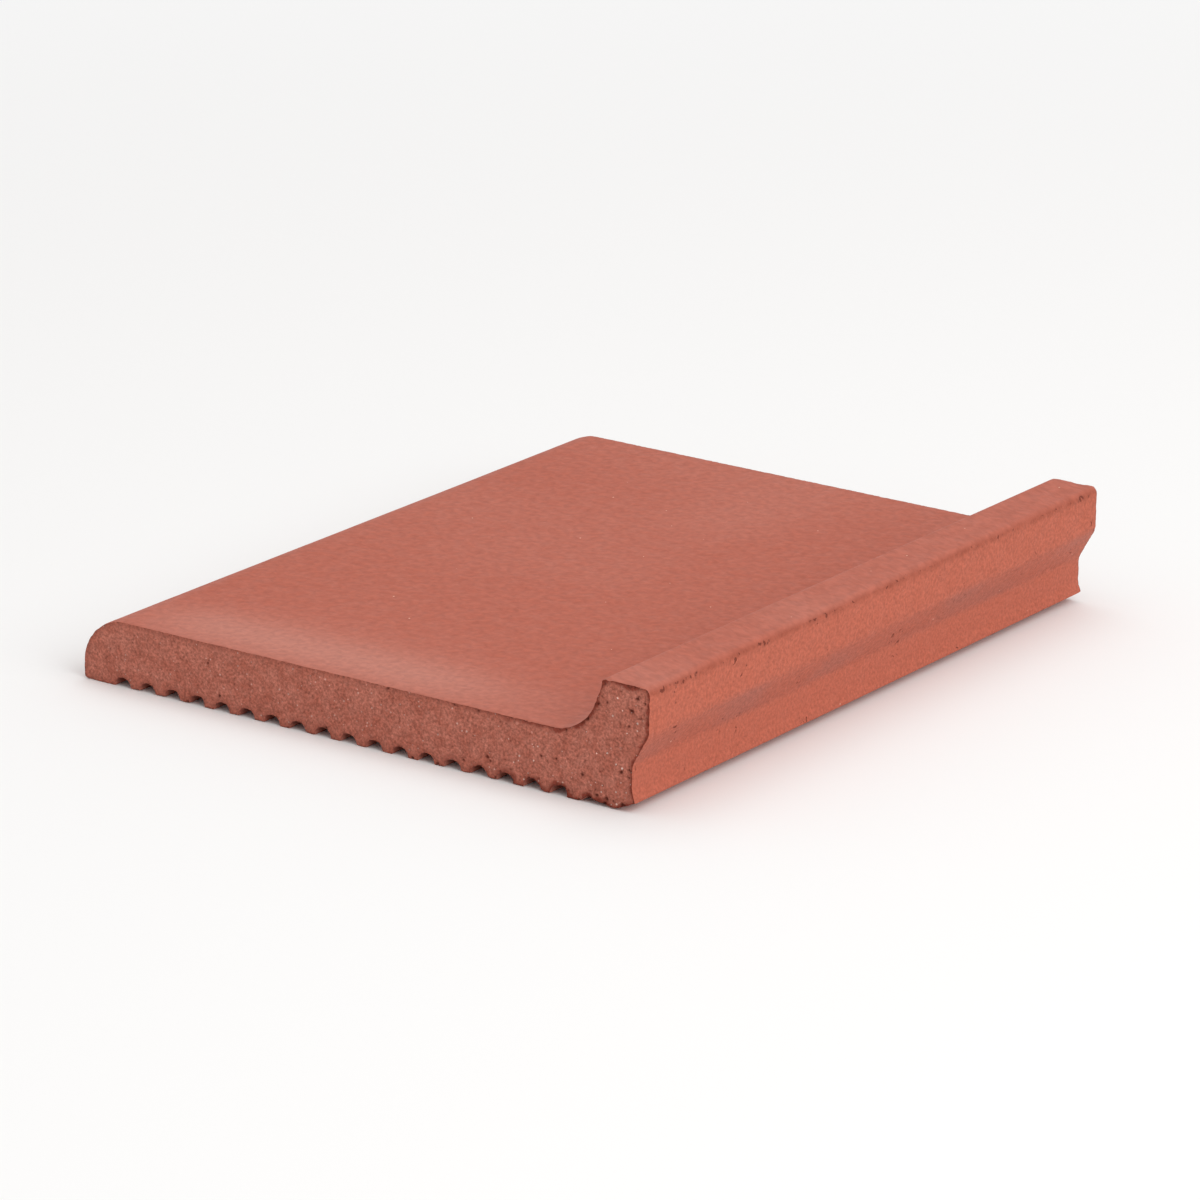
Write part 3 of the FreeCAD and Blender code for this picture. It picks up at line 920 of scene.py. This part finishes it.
@dataclass(frozen=True)
class WireCut:
    """The same clay where a wire cut the wet column: dull, granular, open grained.

    Sandy grain with pinker grog, pale quartz specks and pinholes painted darker as shade. The
    arris is torn and darker where the wire dragged most. The grain is drawn as coarse as it
    needs to show.
    """

    body: str = "#A65E4D"
    pale: str = "#B87261"
    grog: str = "#D79C8C"
    torn: str = "#7E3A2D"
    # Colour of the painted shade in the pores.
    pore: str = "#552219"
    quartz: str = "#F6E2D6"
    grain_mm: float = 0.5
    patch_mm: float = 2.2
    grog_spacing_mm: float = 1.6
    quartz_spacing_mm: float = 1.05
    relief_mm: float = 0.16
    roughness: float = 0.88
    sheen: float = 0.12

    def material(self) -> bpy.types.Material:
        """Build the shader.

        Returns:
            The material.
        """
        material, add = new_material("unglazed_quarry_clay_wire_cut")
        place = add("TexCoord").outputs["Object"]
        grain = add("TexNoise", {
            "Vector": place, "Scale": per_mm(self.grain_mm), "Detail": 3.0, "Roughness": 0.7,
        })
        patch = add("TexNoise", {
            "Vector": place, "Scale": per_mm(self.patch_mm), "Detail": 3.0, "Roughness": 0.6,
        })
        tone = add("MapRange", {"Value": patch, "From Min": 0.3, "From Max": 0.7})
        colour = add("Mix", {
            0: tone, 6: hex_linear(self.body), 7: hex_linear(self.pale),
        }, data_type="RGBA").outputs[2]
        shade = add("MapRange", {
            "Value": grain, "From Min": 0.25, "From Max": 0.75, "To Min": 0.45, "To Max": 1.54,
        })
        colour = self.grains(add, place, colour)
        colour = self.tearing(add, patch, grain, colour)
        colour = add("Mix", {
            0: 1.0, 6: colour, 7: shade,
        }, data_type="RGBA", blend_type="MULTIPLY").outputs[2]
        height = add("Math", {0: patch, 1: 1.2, 2: grain}, operation="MULTIPLY_ADD")
        end_shader(add, colour, height, self.relief_mm, self.roughness, self.sheen)
        return material

    def grains(self, add: Adder, place: Feed, colour: Feed) -> Feed:
        """Scatter pinker grog and white quartz, each in its own cells and of its own sizes.

        Args:
            add: adds a node to the material.
            place: Object coordinates.
            colour: the clay so far.

        Returns:
            The colour with the grains on it.
        """
        drag = add("Attribute", attribute_name="drag").outputs["Fac"]
        open_grain = add("Math", {0: drag, 1: 0.75, 2: 0.25}, operation="MULTIPLY_ADD")
        for spacing, rarest, widest, strength, hue in (
            (self.grog_spacing_mm, 0.2, 0.22, 0.7, self.grog),
            (self.quartz_spacing_mm, 0.3, 0.2, 1.0, self.quartz),
        ):
            cells = add("TexVoronoi", {"Vector": place, "Scale": per_mm(spacing)})
            kind = add("SeparateColor", {0: cells.outputs["Color"]})
            size = add("MapRange", {
                "Value": kind, "From Min": rarest, "From Max": 1.0, "To Max": widest,
            })
            inside = add("Math", {0: cells.outputs["Distance"], 1: size}, operation="LESS_THAN")
            bright = add("Math", {0: kind.outputs[1], 1: strength}, operation="MULTIPLY")
            amount = add("Math", {0: inside, 1: bright}, operation="MULTIPLY")
            amount = add("Math", {0: amount, 1: open_grain}, operation="MULTIPLY")
            colour = add("Mix", {
                0: amount, 6: colour, 7: hex_linear(hue),
            }, data_type="RGBA").outputs[2]
        return colour

    def tearing(self, add: Adder, patch: Feed, grain: Feed, colour: Feed) -> Feed:
        """Darken the torn arris, and paint shade into the open pores.

        Args:
            add: adds a node to the material.
            patch: noise that makes the torn rim uneven.
            grain: finer noise that makes its edge ragged.
            colour: the clay so far.

        Returns:
            The colour with both on it.
        """
        rim = add("Attribute", attribute_name="rim_mm").outputs["Fac"]
        drag = add("Attribute", attribute_name="drag").outputs["Fac"]
        fray = add("Math", {0: patch, 1: -3.0, 2: rim}, operation="MULTIPLY_ADD")
        fray = add("Math", {0: grain, 1: -2.2, 2: fray}, operation="MULTIPLY_ADD")
        torn = add("MapRange", {
            "Value": fray, "From Min": -1.5, "From Max": -2.3,
        }, interpolation_type="SMOOTHSTEP")
        torn = add("Math", {0: torn, 1: drag}, operation="MULTIPLY")
        colour = add("Mix", {
            0: torn, 6: colour, 7: hex_linear(self.torn),
        }, data_type="RGBA").outputs[2]
        cup = add("Attribute", attribute_name="pore_mm").outputs["Fac"]
        # Painted shade in the pores: darker where they are deeper.
        painted_pore_shade = add("MapRange", {
            "Value": cup, "From Min": 0.03, "From Max": 0.35, "To Max": 0.85,
        }, interpolation_type="SMOOTHSTEP")
        return add("Mix", {
            0: painted_pore_shade, 6: colour, 7: hex_linear(self.pore),
        }, data_type="RGBA").outputs[2]


@dataclass(frozen=True)
class GroovedBack:
    """The bedding side: the same clay, dragged by the grooving die and dusty from the kiln car.

    Drag lines run along the length, the lands are scuffed paler and the grooves are painted darker
    with depth, as shade.
    """

    body: str = "#A65A49"
    scuffed: str = "#BC7867"
    # Colour of the painted shade deep in the grooves.
    painted_groove_shade: str = "#8A4638"
    drag_mm: float = 0.5
    stretch: float = 0.05
    patch_mm: float = 9.0
    grain_mm: float = 0.5
    groove_shade_mm: Span = (0.3, 1.5)
    relief_mm: float = 0.06
    roughness: float = 0.85
    sheen: float = 0.35

    def material(self) -> bpy.types.Material:
        """Build the shader.

        Returns:
            The material.
        """
        material, add = new_material("unglazed_quarry_clay_grooved_back")
        place = add("TexCoord").outputs["Object"]
        along = add("Mapping", {"Vector": place, "Scale": (1.0, self.stretch, 1.0)})
        drag = add("TexNoise", {"Vector": along, "Scale": per_mm(self.drag_mm), "Detail": 2.0})
        patch = add("TexNoise", {
            "Vector": place, "Scale": per_mm(self.patch_mm), "Detail": 4.0,
        })
        grain = add("TexNoise", {
            "Vector": place, "Scale": per_mm(self.grain_mm), "Detail": 2.0,
        })
        tone = add("MapRange", {"Value": patch, "From Min": 0.35, "From Max": 0.7})
        colour = add("Mix", {
            0: tone, 6: hex_linear(self.body), 7: hex_linear(self.scuffed),
        }, data_type="RGBA").outputs[2]
        level = add("SeparateXYZ", {0: place}).outputs["Z"]
        shallow, deep = self.groove_shade_mm
        shaded = add("MapRange", {
            "Value": level, "From Min": shallow * MM, "From Max": deep * MM,
        })
        # Painted shade in the grooves, darker the deeper they go.
        colour = add("Mix", {
            0: shaded, 6: colour, 7: hex_linear(self.painted_groove_shade),
        }, data_type="RGBA").outputs[2]
        lines = add("Math", {0: drag, 1: grain}, operation="ADD")
        shade = add("MapRange", {
            "Value": lines, "From Min": 0.6, "From Max": 1.4, "To Min": 0.84, "To Max": 1.14,
        })
        colour = add("Mix", {
            0: 1.0, 6: colour, 7: shade,
        }, data_type="RGBA", blend_type="MULTIPLY").outputs[2]
        end_shader(add, colour, lines, self.relief_mm, self.roughness, self.sheen)
        return material


# ---- studio

@dataclass(frozen=True)
class Lamp:
    """A soft square lamp: where it stands and how wide it is, in metres, and its power."""

    name: str
    spot: tuple[float, float, float]
    width: float
    watts: float


@dataclass(frozen=True)
class Studio:
    """Pale floor, soft light and the camera.

    Attributes:
        camera_spot: where the camera stands, in millimetres.
        aim: the point that it looks at, in millimetres.
        roll: its turn about its own axis, in degrees.
        lens, sensor: focal length and width of the sensor, in millimetres.
        floor_half: half the floor's width, in metres.
        floor_colour: the sheet's own colour.
        near_floor, far_floor: where the floor starts and ends turning even white, in metres.
        backdrop: strength of the white behind the tile, as the camera and a gloss see it.
        sky: strength of the even light from all round.
    """

    camera_spot: tuple[float, float, float] = (648.0, -939.0, 377.5)
    aim: tuple[float, float, float] = (0.0, 0.0, 8.0)
    roll: float = 0.83
    lens: float = 190.0
    sensor: float = 36.0
    floor_half: float = 3.0
    floor_colour: str = "#F4F3F2"
    near_floor: float = 0.2
    far_floor: float = 0.9
    backdrop: float = 0.96
    sky: float = 0.62
    lamps: tuple[Lamp, ...] = (
        Lamp("window", (1.2, -0.25, 0.9), 1.2, 11.5),
        Lamp("ceiling", (-0.2, 0.3, 1.6), 1.6, 7.3),
    )

    def build(self) -> None:
        """Put up the floor, the lamps, the world and the camera."""
        self.add_floor()
        for lamp in self.lamps:
            self.add_lamp(lamp)
        self.light_world()
        self.place_camera()
        bpy.context.scene.view_settings.view_transform = "Standard"

    def add_floor(self) -> None:
        """A wide level sheet under the tile, matte, and even white to the camera further off."""
        half = self.floor_half
        mesh = bpy.data.meshes.new("floor")
        square = [(-half, -half, 0), (half, -half, 0), (half, half, 0), (-half, half, 0)]
        mesh.from_pydata(square, [], [(0, 1, 2, 3)])
        floor = bpy.data.objects.new("floor", mesh)
        bpy.context.scene.collection.objects.link(floor)
        material, add = new_material("matte_paper_floor")
        shader = add("BsdfPrincipled", {
            "Base Color": hex_linear(self.floor_colour), "Roughness": 0.9, "Specular IOR Level": 0.2,
        })
        place = add("TexCoord").outputs["Object"]
        away = add("VectorMath", {0: place}, operation="LENGTH").outputs["Value"]
        far = add("MapRange", {
            "Value": away, "From Min": self.near_floor, "From Max": self.far_floor,
        }, interpolation_type="SMOOTHSTEP")
        seen = add("LightPath").outputs["Is Camera Ray"]
        plain = add("Math", {0: far, 1: seen}, operation="MULTIPLY")
        white = add("Emission", {"Color": WHITE, "Strength": self.backdrop})
        blend = add("MixShader", {0: plain, 1: shader, 2: white})
        add("OutputMaterial", {"Surface": blend})
        mesh.materials.append(material)

    def add_lamp(self, lamp: Lamp) -> None:
        """One square area lamp turned towards the tile."""
        data = bpy.data.lights.new(lamp.name, "AREA")
        data.size = lamp.width
        data.energy = lamp.watts
        light = bpy.data.objects.new(lamp.name, data)
        light.location = lamp.spot
        light.rotation_euler = (-Vector(lamp.spot)).to_track_quat("-Z", "Y").to_euler()
        bpy.context.scene.collection.objects.link(light)

    def light_world(self) -> None:
        """Even light from all round, and near white where the camera or a gloss sees it."""
        world = bpy.data.worlds.new("soft_white")
        bpy.context.scene.world = world
        world.use_nodes = True
        world.node_tree.nodes.clear()
        add = partial(add_node, world.node_tree)
        path = add("LightPath")
        seen = add("Math", {
            0: path.outputs["Is Camera Ray"], 1: path.outputs["Is Glossy Ray"],
        }, operation="MAXIMUM")
        strength = add("MapRange", {"Value": seen, "To Min": self.sky, "To Max": self.backdrop})
        sky = add("Background", {"Color": WHITE, "Strength": strength})
        add("OutputWorld", {"Surface": sky})

    def place_camera(self) -> None:
        """Stand the camera off to the foot's side and look down along the tile."""
        data = bpy.data.cameras.new("camera")
        data.lens = self.lens
        data.sensor_width = self.sensor
        camera = bpy.data.objects.new("camera", data)
        spot = Vector(self.camera_spot) * MM
        towards = Vector(self.aim) * MM - spot
        turn = towards.to_track_quat("-Z", "Y").to_matrix()
        camera.rotation_euler = (turn @ Matrix.Rotation(math.radians(self.roll), 3, "Z")).to_euler()
        camera.location = spot
        bpy.context.scene.collection.objects.link(camera)
        bpy.context.scene.camera = camera


def main() -> None:
    logging.basicConfig(level=logging.INFO, format="%(name)s: %(message)s")
    tile = Tile().build()
    for finish in (DieSkin(), WireCut(), GroovedBack()):
        tile.data.materials.append(finish.material())
    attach(tile, "root")
    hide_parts(NODE)
    log.info("%s: %d faces", tile.name, len(tile.data.polygons))
    Studio().build()


if __name__ == "__main__":
    main()
